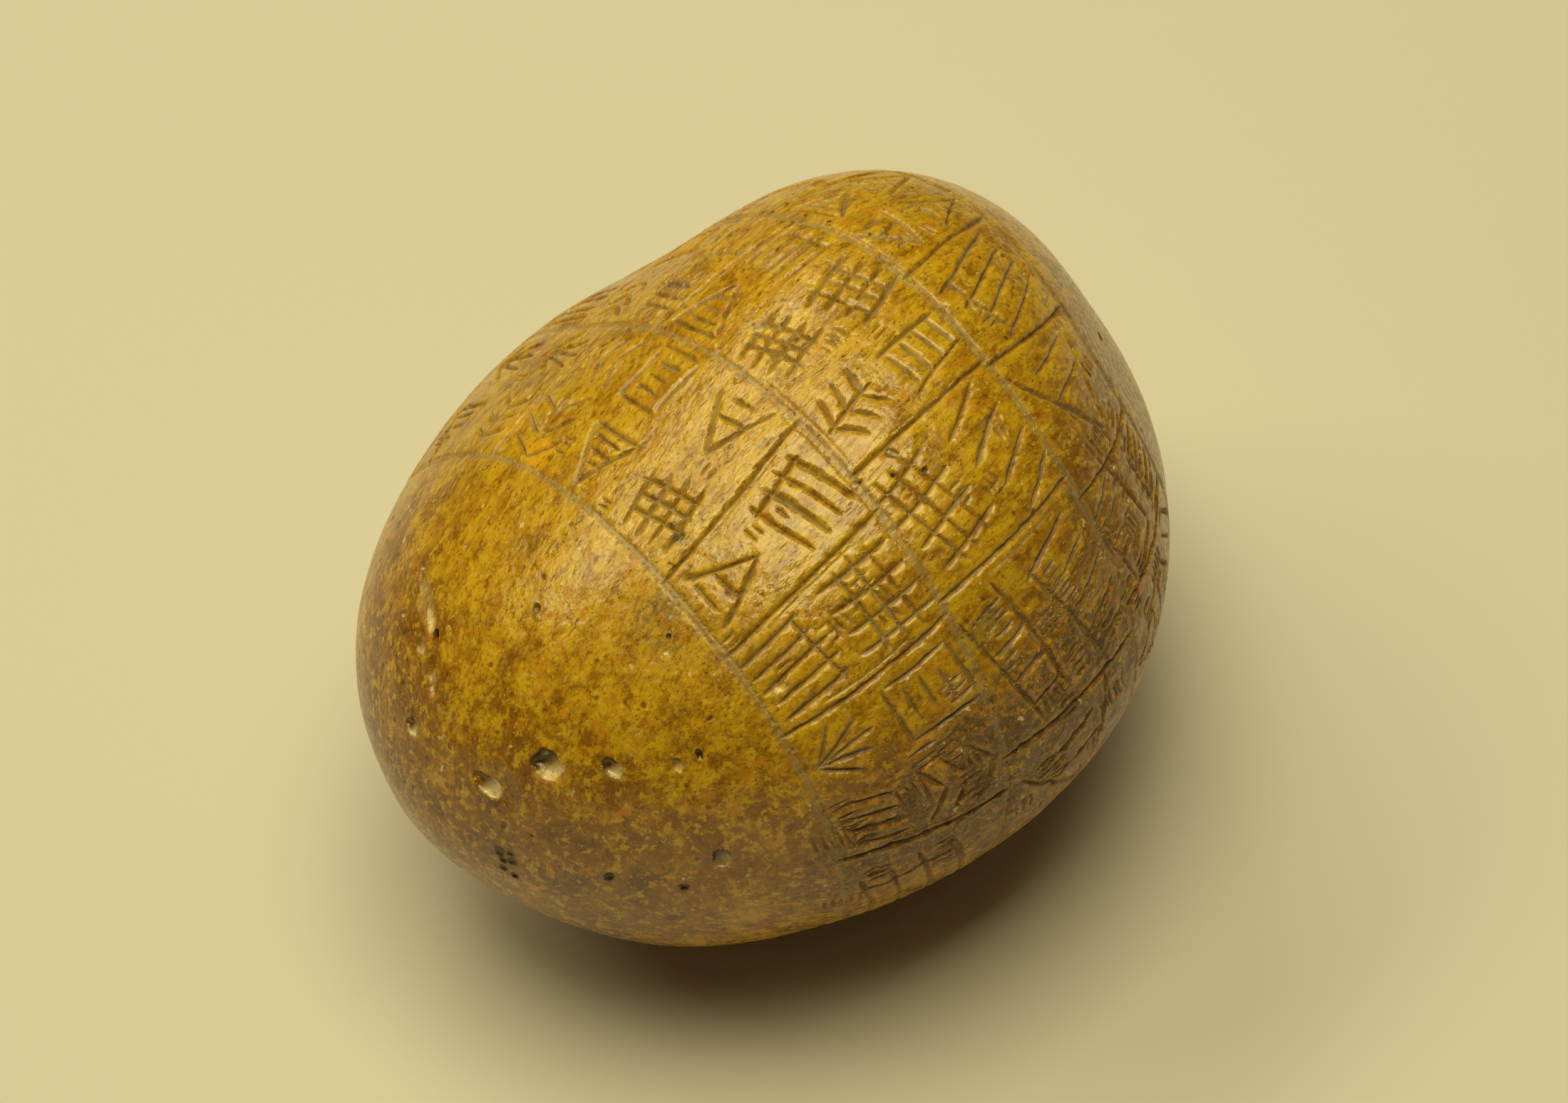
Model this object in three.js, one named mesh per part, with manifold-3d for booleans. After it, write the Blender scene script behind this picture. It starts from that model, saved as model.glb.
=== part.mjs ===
// A hand-sized oval stone, ruled round into bands and boxes and cut with rows of short strokes.
// Millimetres, +Z up. The long axis runs along X, with the bare end toward -X, and the stone
// rests on a small flat spot worn underneath.

import * as THREE from 'three';
import { mergeVertices } from 'three/addons/utils/BufferGeometryUtils.js';
import Module from 'manifold-3d';

// The pebble before its swellings, and how it lies.
const halfLength = 70;
const halfBreadth = 56;
const halfHeight = 49;
const endRaised = 8; // degrees that the inscribed end is lifted
const footDepth = 1.2; // height lost to the flat spot
const facetSteps = 8; // cuts along each edge of the icosahedron that the facets start from

// A place on the stone is a reach, in degrees from the +X tip, and a turn, in degrees round
// the long axis from the top toward -Y. Each swelling rises or sinks by so many millimetres
// at riseRadius from the middle, and fades over its breadth in degrees.
const riseRadius = 60;
const swellings = [
  { reach: 10, turn: 0, rise: -4.5, breadth: 45 },
  { reach: 46, turn: -76, rise: -6.5, breadth: 40 },
  { reach: 90, turn: -80, rise: 1.5, breadth: 40 },
  { reach: 134, turn: -76, rise: 5, breadth: 40 },
  { reach: 90, turn: 80, rise: 8.5, breadth: 40 },
  { reach: 46, turn: 76, rise: -8.5, breadth: 40 },
  { reach: 60, turn: 0, rise: 5, breadth: 45 },
  { reach: 125, turn: 0, rise: -1.5, breadth: 45 },
  { reach: 85, turn: 0, rise: -2, breadth: 40 },
  { reach: 90, turn: -40, rise: -12.5, breadth: 45 },
  { reach: 125, turn: -135, rise: -3.5, breadth: 45 },
  { reach: 55, turn: 135, rise: 4, breadth: 45 },
  { reach: 114, turn: -72, rise: -0.6, breadth: 18 },
  { reach: 88, turn: -69, rise: 0.8, breadth: 18 },
  { reach: 68, turn: -58, rise: -0.5, breadth: 18 },
  { reach: 51, turn: -32, rise: 0.8, breadth: 18 },
  { reach: 41, turn: 105, rise: 0.4, breadth: 18 },
  { reach: 87, turn: 108, rise: 0.3, breadth: 18 },
  { reach: 148, turn: 132, rise: 0.9, breadth: 18 },
  { reach: 166, turn: -109, rise: 1.1, breadth: 18 },
  { reach: 99, turn: 62, rise: -0.7, breadth: 9 },
];

// The ruled rings. Each one's reach sways by some degrees toward the top and toward -Y.
const rings = [
  { at: 50, top: -7, side: 6 },
  { at: 75, top: -9, side: 7 },
  { at: 99, top: -8, side: 6 },
  { at: 121, top: -3, side: 5 },
];
const ringSteps = 30;
const ringWidth = 1.5;
const ringDepth = 0.7;

// The lines that part each band into boxes: the turn where each one leaves the ring nearer
// the +X tip and where it meets the next ring. Those round the back are evenly spread.
const bandDividers = [
  [[17, 17], [44, 37], [70, 62], [88, 82], ...spread(112, 347, 7)],
  [[-9, -17], [36, 32], [58, 54], [86, 81], ...spread(112, 318, 6)],
  [[-31, -35], [20, 20], [38, 37], [56, 54], ...spread(88, 295, 6)],
];
const dividerWidth = 1.5;
const dividerDepth = 0.7;

// The signs stand in rows inside the boxes, each in a place of its own.
const signRows = 2;
const bigSignShare = 0.1; // of the boxes, which hold one row of signs as tall as the band
const signAspect = 1.15; // breadth of a sign's place for its height
const signFill = 0.8; // share of its place that a sign fills
const signLean = 9; // degrees, at most
const strokeWidth = 1.2;
const strokeDepth = 0.6;
const strokeSpan = 9; // a longer stroke is bent over the stone in steps of this length
const cutterLift = 1.8; // how far a cutter stands out, so that no bridge of stone is left over it
const shownSide = [-75, 118]; // the turns between which a sign has more than its main stroke

const stoneMaterial = new THREE.MeshStandardMaterial({
  color: '#b5893a',
  roughness: 0.45,
  metalness: 0,
});

const degree = Math.PI / 180;
const wasm = await Module();
wasm.setup();

function spread(from, to, count) {
  const turns = [];
  for (let i = 0; i < count; i++) {
    const turn = from + ((to - from) * i) / (count - 1);
    turns.push([turn, turn - 4]);
  }
  return turns;
}

// A steady stand-in for chance, between 0 and 1, that is the same each time.
function chance(seed) {
  const value = Math.sin(seed * 12.9898) * 43758.5453;
  return value - Math.floor(value);
}

function directionAt(reach, turn) {
  const across = Math.sin(reach * degree);
  return new THREE.Vector3(
    Math.cos(reach * degree),
    -across * Math.sin(turn * degree),
    across * Math.cos(turn * degree),
  );
}

function surfacePoint(direction) {
  let factor = 1;
  for (const swelling of swellings) {
    const toward = directionAt(swelling.reach, swelling.turn);
    const away = direction.angleTo(toward) / (swelling.breadth * degree);
    factor += (swelling.rise / riseRadius) * Math.exp(-away * away);
  }
  return new THREE.Vector3(halfLength, halfBreadth, halfHeight)
    .multiply(direction)
    .multiplyScalar(factor)
    .applyAxisAngle(new THREE.Vector3(0, 1, 0), -endRaised * degree);
}

// The point, the outward normal and the millimetres per degree at one place on the stone.
function surfaceFrame(reach, turn) {
  const step = 0.2;
  const point = surfacePoint(directionAt(reach, turn));
  const alongReach = surfacePoint(directionAt(reach + step, turn)).sub(point).divideScalar(step);
  const alongTurn = surfacePoint(directionAt(reach, turn + step)).sub(point).divideScalar(step);
  const normal = new THREE.Vector3().crossVectors(alongReach, alongTurn).normalize();
  return {
    point,
    normal: normal.dot(point) < 0 ? normal.negate() : normal,
    perReach: alongReach.length(),
    perTurn: alongTurn.length(),
  };
}

function ringReach(ring, turn) {
  return ring.at + ring.top * Math.cos(turn * degree) + ring.side * Math.sin(turn * degree);
}

// The reach at a share of the way across a band, from its ring nearer the +X tip.
function bandReach(band, share, turn) {
  const start = ringReach(rings[band], turn);
  const end = ringReach(rings[band + 1], turn);
  return start + (end - start) * share;
}

function toManifold(geometry) {
  const plain = new THREE.BufferGeometry();
  plain.setAttribute('position', geometry.getAttribute('position'));
  plain.setIndex(geometry.getIndex());
  const merged = mergeVertices(plain, 1e-4);
  const vertProperties = new Float32Array(merged.getAttribute('position').array);
  const triVerts = new Uint32Array(merged.getIndex().array);
  return new wasm.Manifold(new wasm.Mesh({ numProp: 3, vertProperties, triVerts }));
}

// A wedge swept along places on the stone, its edge below the surface. Where it isn't closed
// into a ring, its ends run out shallow.
function grooveCutter(places, width, depth, closed) {
  const frames = places.map(([reach, turn]) => surfaceFrame(reach, turn));
  const count = frames.length;
  const vertices = [];
  frames.forEach(({ point, normal }, i) => {
    const before = closed ? frames[(i + count - 1) % count] : frames[Math.max(i - 1, 0)];
    const after = closed ? frames[(i + 1) % count] : frames[Math.min(i + 1, count - 1)];
    const along = after.point.clone().sub(before.point);
    const side = new THREE.Vector3().crossVectors(normal, along).normalize();
    const atEnd = !closed && (i === 0 || i === count - 1);
    const cut = atEnd ? depth * 0.55 : depth;
    const half = ((atEnd ? width * 0.7 : width) / 2) * ((cut + cutterLift) / cut);
    const top = point.clone().addScaledVector(normal, cutterLift);
    vertices.push(
      point.clone().addScaledVector(normal, -cut),
      top.clone().addScaledVector(side, half),
      top.clone().addScaledVector(side, -half),
    );
  });
  const index = closed ? [] : [0, 2, 1, 3 * count - 3, 3 * count - 2, 3 * count - 1];
  for (let i = 0; i < (closed ? count : count - 1); i++) {
    const here = 3 * i;
    const next = 3 * ((i + 1) % count);
    for (let edge = 0; edge < 3; edge++) {
      const other = (edge + 1) % 3;
      index.push(here + edge, here + other, next + other);
      index.push(here + edge, next + other, next + edge);
    }
  }
  const geometry = new THREE.BufferGeometry().setFromPoints(vertices).setIndex(index);
  return toManifold(geometry);
}

function ringCutter(ring) {
  const places = [];
  for (let i = 0; i < ringSteps; i++) {
    const turn = (360 * i) / ringSteps;
    places.push([ringReach(ring, turn), turn]);
  }
  return grooveCutter(places, ringWidth, ringDepth, true);
}

function dividerCutter(band, [startTurn, endTurn]) {
  const places = [0, 0.5, 1].map((share) => {
    const turn = startTurn + (endTurn - startTurn) * share;
    return [bandReach(band, share, turn), turn];
  });
  return grooveCutter(places, dividerWidth, dividerDepth, false);
}

// Each kind of sign is a list of strokes [u1, v1, u2, v2] in a box from -0.5 to 0.5 each way,
// u down the band and v round the stone. None of them is a letter.
function evenly(count, from, to, stroke) {
  return Array.from({ length: count }, (_, i) => stroke(from + ((to - from) * i) / (count - 1)));
}

function comb(teeth) {
  return [[-0.35, -0.5, -0.35, 0.5], ...evenly(teeth, -0.42, 0.42, (v) => [-0.5, v, 0.5, v])];
}

function ladder(rungs) {
  const rails = [[-0.5, -0.32, 0.5, -0.24], [-0.5, 0.32, 0.5, 0.24]];
  return [...rails, ...evenly(rungs, -0.38, 0.38, (u) => [u, -0.28, u, 0.28])];
}

function hatch(count) {
  return evenly(count, -0.42, 0.42, (v) => [-0.42, v - 0.06, 0.42, v + 0.06]);
}

function lattice(lines) {
  const across = evenly(lines - 1, -0.25, 0.2, (u) => [u, -0.5, u, 0.5]);
  return [...evenly(lines, -0.38, 0.38, (v) => [-0.5, v, 0.5, v]), ...across];
}

function fan(rays) {
  return evenly(rays, -58, 58, (angle) => {
    const open = 0.58 * Math.sin(angle * degree);
    return [-0.5, 0, -0.5 + Math.cos(angle * degree), open];
  });
}

function sprig(pairs) {
  const left = evenly(pairs, -0.3, 0.3, (u) => [u - 0.12, -0.4, u + 0.1, 0]);
  const right = evenly(pairs, -0.3, 0.3, (u) => [u + 0.1, 0, u - 0.12, 0.4]);
  return [[-0.5, 0, 0.5, 0], ...left, ...right];
}

function chevrons(count) {
  const left = evenly(count, -0.45, 0.2, (u) => [u + 0.3, -0.45, u, 0]);
  const right = evenly(count, -0.45, 0.2, (u) => [u, 0, u + 0.3, 0.45]);
  return [...left, ...right];
}

function hatchedFrame(bars) {
  const sides = [
    [-0.48, -0.4, 0.48, -0.4],
    [0.48, 0.4, -0.48, 0.4],
    [0.48, -0.4, 0.48, 0.4],
    [-0.48, 0.4, -0.48, -0.4],
  ];
  return [...sides, ...evenly(bars, -0.24, 0.24, (u) => [u, -0.24, u, 0.22])];
}

function hatchedGable(bars) {
  const sides = [[-0.5, 0, 0.4, -0.48], [-0.5, 0, 0.4, 0.48], [0.4, -0.48, 0.4, 0.48]];
  return [...sides, ...evenly(bars, -0.18, 0.22, (u) => [u, -0.38 * (u + 0.5), u, 0.38 * (u + 0.5)])];
}

function tent(bars) {
  const sides = [[-0.5, -0.45, 0.5, 0], [-0.5, 0.45, 0.5, 0]];
  return [...sides, ...evenly(bars, -0.4, -0.1, (u) => [u, -0.26, u, 0.26])];
}

const signKinds = [
  comb(5),
  hatchedGable(3),
  ladder(4),
  hatchedFrame(3),
  fan(5),
  lattice(4),
  chevrons(3),
  hatch(4),
  tent(2),
  sprig(3),
  comb(4),
];

// A sign's strokes, each a row of places on the stone.
function signStrokes(reach, turn, height, breadth, seed) {
  const { perReach, perTurn } = surfaceFrame(reach, turn);
  const kind = signKinds[Math.floor(chance(seed) * signKinds.length)];
  const size = 0.88 + 0.2 * chance(seed + 0.3);
  const lean = (2 * chance(seed + 0.6) - 1) * signLean * degree;
  const flip = chance(seed + 0.9) < 0.5 ? -1 : 1;
  const lying = chance(seed + 0.75) < 0.3;
  const place = (u, v) => {
    const down = flip * size * height * (lying ? v : u);
    const round = size * breadth * (lying ? u : v);
    const leaned = down * Math.cos(lean) - round * Math.sin(lean);
    const swung = down * Math.sin(lean) + round * Math.cos(lean);
    return [reach + leaned / perReach, turn + swung / perTurn];
  };
  return kind.map(([u1, v1, u2, v2]) => {
    const length = Math.hypot((u2 - u1) * height, (v2 - v1) * breadth);
    const steps = Math.max(1, Math.round(length / strokeSpan));
    return evenly(steps + 1, 0, 1, (t) => place(u1 + (u2 - u1) * t, v1 + (v2 - v1) * t));
  });
}

function isShown(turn) {
  const wrapped = ((turn + 180) % 360) - 180;
  return wrapped > shownSide[0] && wrapped < shownSide[1];
}

// The main strokes of the signs in one box: two of each where it is shown, one round the back.
function boxStrokes(band, box) {
  const dividers = bandDividers[band];
  const [startTurn, endTurn] = dividers[box];
  const [nextStart, nextEnd] = dividers[(box + 1) % dividers.length];
  const wrap = box === dividers.length - 1 ? 360 : 0;
  const rows = chance(band * 7.3 + box * 3.1) < bigSignShare ? 1 : signRows;
  const strokes = [];
  for (let row = 0; row < rows; row++) {
    const share = (row + 0.5) / rows;
    const from = startTurn + (endTurn - startTurn) * share;
    const to = nextStart + (nextEnd - nextStart) * share + wrap;
    const middle = (from + to) / 2;
    const { perReach, perTurn } = surfaceFrame(bandReach(band, share, middle), middle);
    const bandHeight = (bandReach(band, 1, middle) - bandReach(band, 0, middle)) * perReach;
    const height = bandHeight / rows;
    const columns = Math.max(1, Math.round(((to - from) * perTurn) / (height * signAspect)));
    const breadth = ((to - from) * perTurn) / columns;
    for (let column = 0; column < columns; column++) {
      const turn = from + ((to - from) * (column + 0.5)) / columns;
      const reach = bandReach(band, share, turn);
      const seed = 1 + band * 97 + box * 13 + row * 5 + column;
      const sign = signStrokes(reach, turn, height * signFill, breadth * signFill, seed);
      strokes.push(...sign.slice(0, isShown(turn) ? 2 : 1));
    }
  }
  return strokes;
}

function stoneBody() {
  const sphere = new THREE.IcosahedronGeometry(1, facetSteps - 1);
  const position = sphere.getAttribute('position');
  for (let i = 0; i < position.count; i++) {
    const direction = new THREE.Vector3().fromBufferAttribute(position, i).normalize();
    const point = surfacePoint(direction);
    position.setXYZ(i, point.x, point.y, point.z);
  }
  return toManifold(sphere);
}

function footCutter(body) {
  const reach = 2 * halfLength;
  const lowest = body.boundingBox().min[2];
  const box = new THREE.BoxGeometry(2 * reach, 2 * reach, reach);
  box.translate(0, 0, lowest + footDepth - reach / 2);
  return toManifold(box);
}

function toGeometry(manifold) {
  const mesh = manifold.getMesh();
  const geometry = new THREE.BufferGeometry();
  geometry.setAttribute('position', new THREE.BufferAttribute(mesh.vertProperties, 3));
  geometry.setIndex(new THREE.BufferAttribute(mesh.triVerts, 1));
  return geometry;
}

function inscribedStone() {
  let stone = stoneBody();
  stone = stone.subtract(footCutter(stone));
  const cutters = rings.map(ringCutter);
  bandDividers.forEach((dividers, band) => {
    cutters.push(...dividers.map((divider) => dividerCutter(band, divider)));
  });
  bandDividers.forEach((dividers, band) => {
    dividers.forEach((_, box) => {
      for (const places of boxStrokes(band, box)) {
        cutters.push(grooveCutter(places, strokeWidth, strokeDepth, false));
      }
    });
  });
  stone = stone.subtract(wasm.Manifold.union(cutters));
  const geometry = toGeometry(stone);
  geometry.computeBoundingBox();
  const { min, max } = geometry.boundingBox;
  geometry.translate(-(min.x + max.x) / 2, -(min.y + max.y) / 2, -min.z);
  const mesh = new THREE.Mesh(geometry, stoneMaterial);
  mesh.name = 'stone';
  return mesh;
}

const group = new THREE.Group();
group.add(inscribedStone());

export default group;
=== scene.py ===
import math

import bmesh
import bpy
import numpy as np
from mathutils import Matrix, Vector, kdtree, noise
from mathutils.geometry import delaunay_2d_cdt


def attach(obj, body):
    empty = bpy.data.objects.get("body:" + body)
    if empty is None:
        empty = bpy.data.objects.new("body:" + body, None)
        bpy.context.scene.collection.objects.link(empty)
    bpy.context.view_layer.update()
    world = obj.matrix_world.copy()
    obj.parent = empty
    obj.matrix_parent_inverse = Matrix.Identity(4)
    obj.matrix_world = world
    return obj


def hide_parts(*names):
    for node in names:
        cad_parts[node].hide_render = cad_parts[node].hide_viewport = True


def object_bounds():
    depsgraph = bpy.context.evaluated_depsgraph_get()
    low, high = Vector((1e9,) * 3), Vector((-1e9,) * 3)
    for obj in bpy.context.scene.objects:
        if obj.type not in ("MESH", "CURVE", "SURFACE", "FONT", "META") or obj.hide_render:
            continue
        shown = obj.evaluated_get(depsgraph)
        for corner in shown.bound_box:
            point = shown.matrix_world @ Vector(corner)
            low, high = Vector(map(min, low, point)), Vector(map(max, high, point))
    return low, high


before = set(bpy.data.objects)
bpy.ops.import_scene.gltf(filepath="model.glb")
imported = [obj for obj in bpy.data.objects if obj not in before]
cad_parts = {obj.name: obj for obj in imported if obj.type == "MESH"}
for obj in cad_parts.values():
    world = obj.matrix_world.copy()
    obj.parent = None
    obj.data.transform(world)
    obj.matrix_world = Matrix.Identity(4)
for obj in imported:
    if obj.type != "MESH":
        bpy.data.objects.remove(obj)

cadLow, cadHigh = [np.array(corner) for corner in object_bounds()]
mm = 0.001

# The form in millimetres and degrees, the same as the CAD solid's. A place on the stone is a
# reach, from the +X tip, and a turn, round the long axis from the top toward -Y.
pebble = {
    "halfSizes": (70.0, 56.0, 49.0),
    "endRaised": 8.0,
    "footDepth": 1.2,        # height lost to the flat spot underneath
    "riseRadius": 60.0,
    "swellings": [           # reach, turn, rise, breadth
        (10, 0, -4.5, 45), (46, -76, -6.5, 40), (90, -80, 1.5, 40), (134, -76, 5, 40),
        (90, 80, 8.5, 40), (46, 76, -8.5, 40), (60, 0, 5, 45), (125, 0, -1.5, 45),
        (85, 0, -2, 40), (90, -40, -12.5, 45), (125, -135, -3.5, 45), (55, 135, 4, 45),
        (114, -72, -0.6, 18), (88, -69, 0.8, 18), (68, -58, -0.5, 18), (51, -32, 0.8, 18),
        (41, 105, 0.4, 18), (87, 108, 0.3, 18), (148, 132, 0.9, 18), (166, -109, 1.1, 18),
        (99, 62, -0.7, 9),
    ],
    "uneven": [(19.0, 0.22), (7.0, 0.08), (2.6, 0.03)],   # size and height of the worn skin's waves
}


def directionAt(reach, turn):
    reach, turn = np.radians(reach), np.radians(turn)
    across = np.sin(reach)
    return np.stack([np.cos(reach), -across * np.sin(turn), across * np.cos(turn)], axis=-1)


def clamp(values):
    return np.clip(values, 0, 1)


def unit(vectors):
    return vectors / np.maximum(np.linalg.norm(vectors, axis=-1, keepdims=True), 1e-12)


def tilted(points, degrees):
    cosine, sine = math.cos(math.radians(degrees)), math.sin(math.radians(degrees))
    x, y, z = np.moveaxis(points, -1, 0)
    return np.stack([x * cosine - z * sine, y, x * sine + z * cosine], axis=-1)


# How strongly something centred on a place is felt in each direction, 1 at the place itself.
def nearness(directions, reach, turn, breadth):
    angle = np.degrees(np.arccos(np.clip(directions @ directionAt(reach, turn), -1, 1)))
    return np.exp(-(angle / breadth) ** 2)


def formPoint(directions):
    factor = np.ones(directions.shape[:-1])
    for reach, turn, rise, breadth in pebble["swellings"]:
        factor += rise / pebble["riseRadius"] * nearness(directions, reach, turn, breadth)
    return tilted(directions * np.array(pebble["halfSizes"]) * factor[..., None], pebble["endRaised"])


# The middle of the foot of some points' box, and how far the box is from the CAD's along each side.
def seatOf(points, footDepth=0):
    low, high = points.min(axis=0), points.max(axis=0)
    low[2] += footDepth
    middle = np.array([(low[0] + high[0]) / 2, (low[1] + high[1]) / 2, low[2]])
    return middle, (cadHigh - cadLow) / mm / (high - low)


allRound = directionAt(*np.meshgrid(np.linspace(0, 180, 361), np.linspace(0, 360, 721)))
seatMiddle, seatScale = seatOf(formPoint(allRound).reshape(-1, 3), pebble["footDepth"])


def surfacePoint(directions):
    return (formPoint(directions) - seatMiddle) * seatScale


# The direction whose surface point lies under a point near the surface.
def directionUnder(points):
    raw = tilted(points / seatScale + seatMiddle, -pebble["endRaised"])
    return unit(raw / np.array(pebble["halfSizes"]))


def normalAt(directions):
    east = unit(np.cross(directions, np.array([0.31, 0.87, 0.38])))
    north = np.cross(directions, east)
    step = 0.003
    here = surfacePoint(directions)
    alongEast = surfacePoint(unit(directions + step * east)) - here
    alongNorth = surfacePoint(unit(directions + step * north)) - here
    normal = unit(np.cross(alongEast, alongNorth))
    outward = np.sum(normal * directions, axis=-1, keepdims=True)
    return normal * np.sign(outward)


def perDegree(reach, turn):
    step = 0.2
    here = formPoint(directionAt(reach, turn))
    alongReach = np.linalg.norm(formPoint(directionAt(reach + step, turn)) - here) / step
    alongTurn = np.linalg.norm(formPoint(directionAt(reach, turn + step)) - here) / step
    return alongReach, alongTurn


# A steady stand-in for chance, between 0 and 1.
def chance(seed):
    value = math.sin(seed * 12.9898) * 43758.5453
    return value - math.floor(value)


def swing(seed, most):
    return (2 * chance(seed) - 1) * most


def noiseOf(points, size, seed=0):
    shift = Vector((seed * 7.31, seed * 3.17, seed * 5.71))
    return np.array([noise.noise(Vector(p) + shift) for p in (points / size).tolist()])


def spread(start, end, count):
    turns = [start + (end - start) * i / (count - 1) for i in range(count)]
    return [(turn, turn - 4) for turn in turns]


# The rings round the stone and the lines that part each band into boxes, where the CAD has them.
ruling = {
    "rings": [(50, -7, 6), (75, -9, 7), (99, -8, 6), (121, -3, 5)],   # reach, sway up, sway to -Y
    "dividers": [
        [(17, 17), (44, 37), (70, 62), (88, 82)] + spread(112, 347, 7),
        [(-9, -17), (36, 32), (58, 54), (86, 81)] + spread(112, 318, 6),
        [(-31, -35), (20, 20), (38, 37), (56, 54)] + spread(88, 295, 6),
    ],
    "mmPerDegree": 1.15,     # of reach, near the rings
    "ringLanes": (-0.42, 0.38),   # mm, each ring is two scored lines side by side
    "ringWidth": 0.56,
    "ringDepth": 0.3,
    "smearWidth": 1.7,       # the dusty, lightly rubbed strip that the two lie in
    "smearDepth": 0.1,
    "lineWidth": 0.86,
    "lineDepth": 0.64,
    "passes": 7,             # lighter scratches beside each ring
    "passWidth": 0.5,
    "passDepth": 0.16,
}

# The signs, rows of strokes that stand in the boxes and spell nothing.
signs = {
    "rows": 2,               # in each band
    "bigShare": 0.1,         # of the boxes, which hold one row of tall signs
    "aspect": 1.15,          # breadth of a sign's place for its height
    "fill": 0.8,             # share of its place that a sign fills
    "lean": 9.0,             # degrees, at most
    "width": 0.86,           # mm, of a stroke
    "depth": 0.56,
    "bow": 0.28,             # mm that a stroke strays from straight
    "overrun": 0.5,          # mm that its ends pass or fall short
    "taper": 1.5,            # mm over which its ends thin out
    "shown": (-75, 118),     # turns between which all strokes are cut
    "backStrokes": 4,        # strokes kept of each sign round the back
    "tickTries": 11,         # places tried in each box for a few short ticks
    "tickShare": 0.5,        # how many of them hold some
    "crowdedFrom": 56,       # degrees of turn past which they all do
    "tickLength": 2.4,       # mm
    "tickApart": 1.25,
    "tickWidth": 0.6,
    "tickDepth": 0.36,
}


def ringReach(ring, turn):
    at, top, side = ruling["rings"][ring]
    return at + top * np.cos(np.radians(turn)) + side * np.sin(np.radians(turn))


def bandReach(band, share, turn):
    start, end = ringReach(band, turn), ringReach(band + 1, turn)
    return start + (end - start) * share


def evenly(count, start, end, stroke):
    return [stroke(start + (end - start) * i / (count - 1)) for i in range(count)]


def comb(teeth):
    return [(-0.35, -0.5, -0.35, 0.5)] + evenly(teeth, -0.42, 0.42, lambda v: (-0.5, v, 0.5, v))


def ladder(rungs):
    rails = [(-0.5, -0.32, 0.5, -0.24), (-0.5, 0.32, 0.5, 0.24)]
    return rails + evenly(rungs, -0.38, 0.38, lambda u: (u, -0.28, u, 0.28))


def hatch(count):
    return evenly(count, -0.42, 0.42, lambda v: (-0.42, v - 0.06, 0.42, v + 0.06))


def lattice(lines):
    across = evenly(lines - 1, -0.25, 0.2, lambda u: (u, -0.5, u, 0.5))
    return evenly(lines, -0.38, 0.38, lambda v: (-0.5, v, 0.5, v)) + across


def fan(rays):
    def ray(angle):
        angle = math.radians(angle)
        return (-0.5, 0, -0.5 + math.cos(angle), 0.58 * math.sin(angle))
    return evenly(rays, -58, 58, ray)


def sprig(pairs):
    left = evenly(pairs, -0.3, 0.3, lambda u: (u - 0.12, -0.4, u + 0.1, 0))
    right = evenly(pairs, -0.3, 0.3, lambda u: (u + 0.1, 0, u - 0.12, 0.4))
    return [(-0.5, 0, 0.5, 0)] + left + right


def chevrons(count):
    left = evenly(count, -0.45, 0.2, lambda u: (u + 0.3, -0.45, u, 0))
    right = evenly(count, -0.45, 0.2, lambda u: (u, 0, u + 0.3, 0.45))
    return left + right


def hatchedFrame(bars):
    sides = [(-0.48, -0.4, 0.48, -0.4), (0.48, 0.4, -0.48, 0.4),
             (0.48, -0.4, 0.48, 0.4), (-0.48, 0.4, -0.48, -0.4)]
    return sides + evenly(bars, -0.24, 0.24, lambda u: (u, -0.24, u, 0.22))


def hatchedGable(bars):
    sides = [(-0.5, 0, 0.4, -0.48), (-0.5, 0, 0.4, 0.48), (0.4, -0.48, 0.4, 0.48)]
    return sides + evenly(bars, -0.18, 0.22, lambda u: (u, -0.38 * (u + 0.5), u, 0.38 * (u + 0.5)))


def tent(bars):
    sides = [(-0.5, -0.45, 0.5, 0), (-0.5, 0.45, 0.5, 0)]
    return sides + evenly(bars, -0.4, -0.1, lambda u: (u, -0.26, u, 0.26))


boxes = [(band, box) for band, dividers in enumerate(ruling["dividers"])
         for box in range(len(dividers))]
signKinds = [comb(5), hatchedGable(3), ladder(4), hatchedFrame(3), fan(5), lattice(4),
             chevrons(3), hatch(4), tent(2), sprig(3), comb(4)]


def wrapped(turn):
    return (turn + 180) % 360 - 180


def isShown(turn):
    return signs["shown"][0] < wrapped(turn) < signs["shown"][1]


def signStrokes(reach, turn, height, breadth, seed):
    perReach, perTurn = perDegree(reach, turn)
    kind = signKinds[math.floor(chance(seed) * len(signKinds))]
    size = 0.88 + 0.2 * chance(seed + 0.3)
    lean = math.radians(swing(seed + 0.6, 1) * signs["lean"])
    flip = -1 if chance(seed + 0.9) < 0.5 else 1
    lying = chance(seed + 0.75) < 0.3

    def place(u, v):
        down = flip * size * height * (v if lying else u)
        across = size * breadth * (u if lying else v)
        leaned = down * math.cos(lean) - across * math.sin(lean)
        swung = down * math.sin(lean) + across * math.cos(lean)
        return reach + leaned / perReach, turn + swung / perTurn

    return [(place(u1, v1), place(u2, v2)) for u1, v1, u2, v2 in kind]


# Where a box starts and ends round the stone, at a share of the way over its band.
def boxTurns(band, box, share):
    dividers = ruling["dividers"][band]
    startTurn, endTurn = dividers[box]
    nextStart, nextEnd = dividers[(box + 1) % len(dividers)]
    wrap = 360 if box == len(dividers) - 1 else 0
    start = startTurn + (endTurn - startTurn) * share
    return start, nextStart + (nextEnd - nextStart) * share + wrap


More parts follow.
